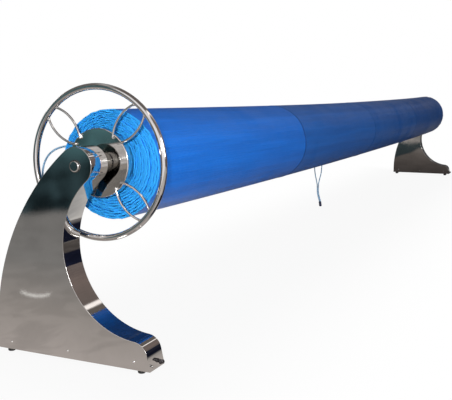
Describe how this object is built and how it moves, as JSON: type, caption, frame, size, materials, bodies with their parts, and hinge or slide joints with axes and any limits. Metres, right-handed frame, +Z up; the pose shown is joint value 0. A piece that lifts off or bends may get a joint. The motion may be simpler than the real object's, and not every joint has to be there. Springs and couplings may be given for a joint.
{
  "type": "pool cover reel",
  "caption": "Roller with a wound pool cover between polished curved box legs, a spoked tube handwheel beside the near leg, and pull cords on the cover's free edge.",
  "frame": {"origin": "on the floor, at the middle of the box of the whole reel", "axes": "+X along the roller, from the handwheel end to the far end; -Y towards the toes of the legs; +Z up"},
  "size_m": [7.547, 0.7088, 1.0605],
  "materials": {
    "polished_steel": "polished",
    "plain_steel": "satin",
    "black_rubber": "matte",
    "black_nylon": "satin",
    "aluminium_tube": "satin",
    "grey_plastic": "matte",
    "blue_film": "satin",
    "blue_rope": "matte",
    "navy_sleeve": "satin"
  },
  "bodies": {
    "stand": {"near_leg_shell": "polished_steel", "near_base_tray": "plain_steel", "near_foot_toe_outer": "black_rubber", "near_foot_toe_inner": "black_rubber", "near_foot_heel_outer": "black_rubber", "near_foot_heel_inner": "black_rubber", "near_screw_outer_1": "plain_steel", "near_screw_outer_2": "plain_steel", "near_screw_outer_3": "plain_steel", "near_screw_inner_1": "plain_steel", "near_screw_inner_2": "plain_steel", "near_screw_inner_3": "plain_steel", "near_toe_screw": "plain_steel", "near_cable_gland": "black_nylon", "near_hub_sleeve": "plain_steel", "near_bush_outer": "black_nylon", "near_bush_inner": "black_nylon", "far_leg_shell": "polished_steel", "far_base_tray": "plain_steel", "far_foot_toe_outer": "black_rubber", "far_foot_toe_inner": "black_rubber", "far_foot_heel_outer": "black_rubber", "far_foot_heel_inner": "black_rubber", "far_screw_outer_1": "plain_steel", "far_screw_outer_2": "plain_steel", "far_screw_outer_3": "plain_steel", "far_screw_inner_1": "plain_steel", "far_screw_inner_2": "plain_steel", "far_screw_inner_3": "plain_steel", "far_toe_screw": "plain_steel", "far_cable_gland": "black_nylon", "far_hub_sleeve": "plain_steel", "far_bush_outer": "black_nylon", "far_bush_inner": "black_nylon", "drive_head": "polished_steel", "drive_tube": "plain_steel"},
    "roller": {"axle": "polished_steel", "axle_collar": "polished_steel", "hub_disc": "polished_steel", "handwheel_rim": "polished_steel", "spoke_1": "polished_steel", "spoke_2": "polished_steel", "spoke_3": "polished_steel", "spoke_4": "polished_steel", "spoke_5": "polished_steel", "spoke_6": "polished_steel", "spoke_7": "polished_steel", "spoke_8": "polished_steel", "near_tube_plug": "plain_steel", "near_tube": "aluminium_tube", "middle_tube": "aluminium_tube", "far_tube": "aluminium_tube", "idler_crown": "grey_plastic", "drive_crown": "grey_plastic", "pool_cover": "blue_film", "cord_near_end": "blue_rope", "cord_middle_left": "blue_rope", "cord_middle_right": "blue_rope", "ferrule_near": "navy_sleeve", "ferrule_middle": "navy_sleeve"}
  },
  "joints": [
    {"name": "roller_spin", "type": "hinge", "parent": "stand", "child": "roller", "pos_m": [0, -0.03758, 0.758], "axis": [1, 0, 0], "continuous": true}
  ]
}
